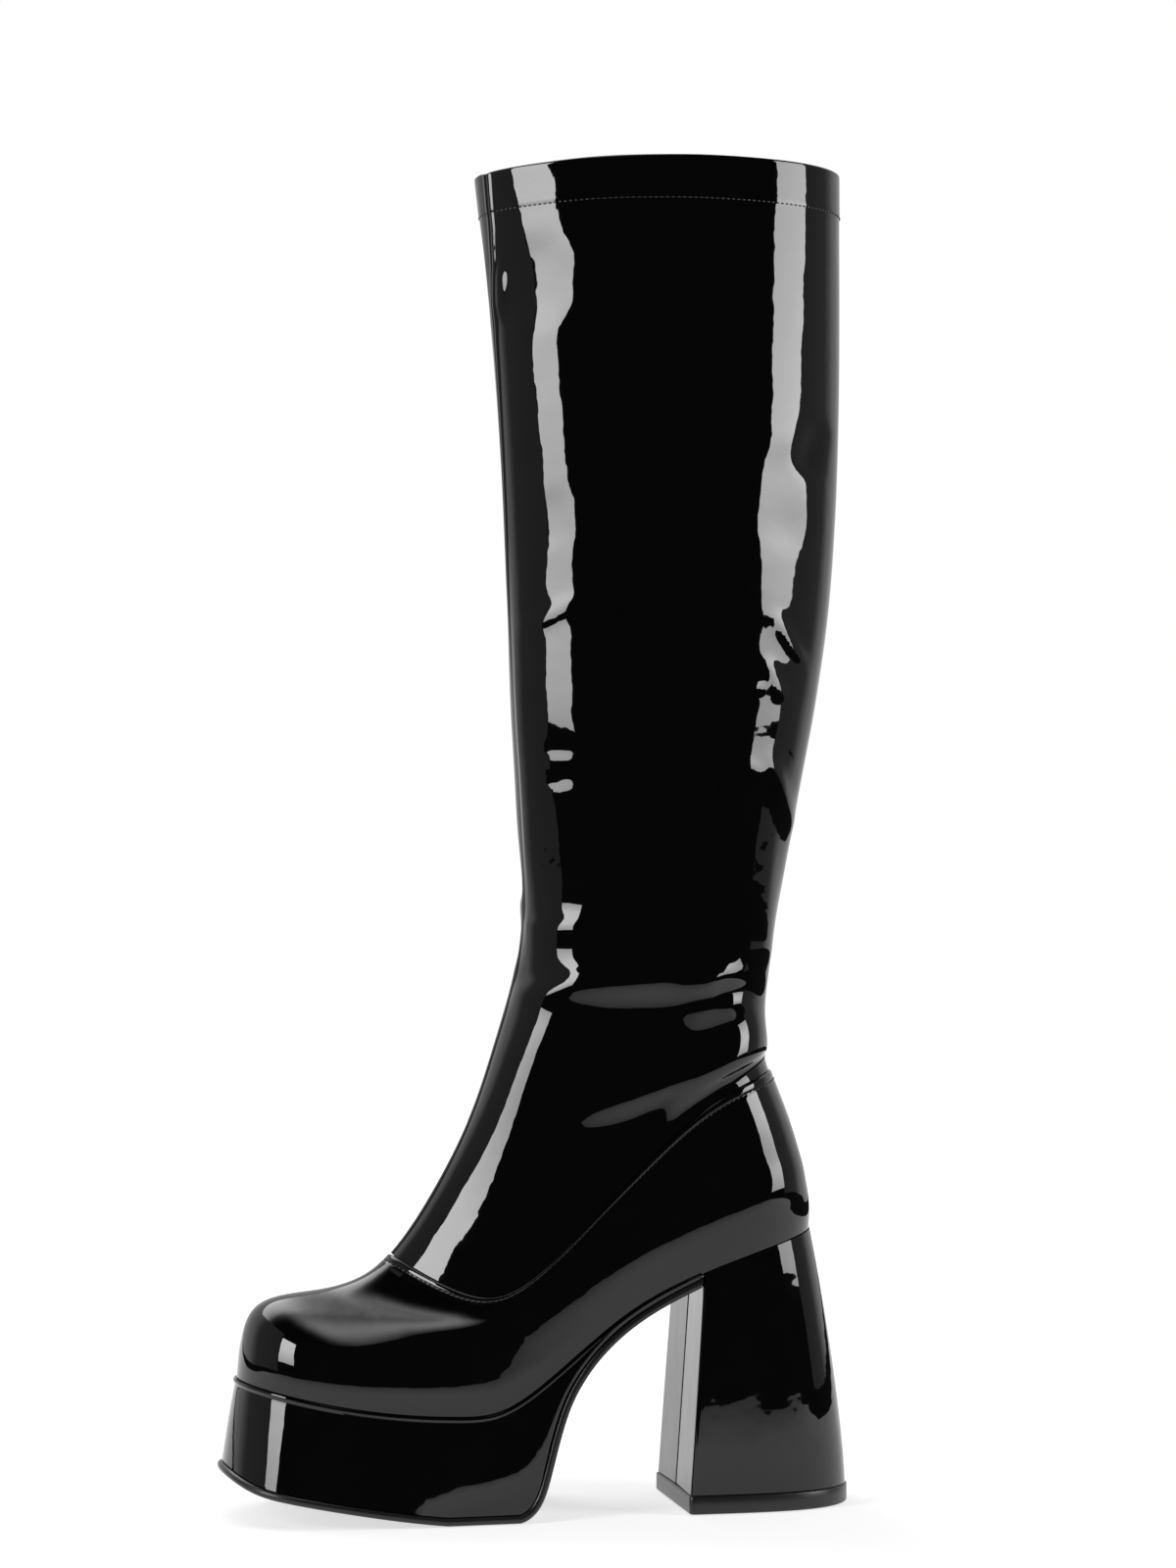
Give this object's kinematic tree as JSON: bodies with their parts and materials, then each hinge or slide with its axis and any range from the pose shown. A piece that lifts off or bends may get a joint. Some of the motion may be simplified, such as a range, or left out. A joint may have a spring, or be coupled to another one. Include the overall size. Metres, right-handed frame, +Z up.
{
  "type": "platform boot",
  "caption": "Knee-high black patent platform boot for the left foot, with a seamed shaft, a wrapped platform and a flared block heel.",
  "frame": {"origin": "middle of the boot's box, on the floor it stands on", "axes": "+Z up the shaft, the toe towards -X, the outer side of the foot towards -Y"},
  "size_m": [0.2476, 0.0953, 0.5242],
  "materials": {
    "patent_leather": "high gloss patent",
    "insole_lining": "matt",
    "sole_rubber": "satin"
  },
  "bodies": {
    "root": {"shaft": "patent_leather", "upper": "patent_leather", "insole": "insole_lining", "platform": "patent_leather", "outsole": "sole_rubber", "heel": "patent_leather", "heel_top_piece": "sole_rubber"}
  },
  "joints": []
}
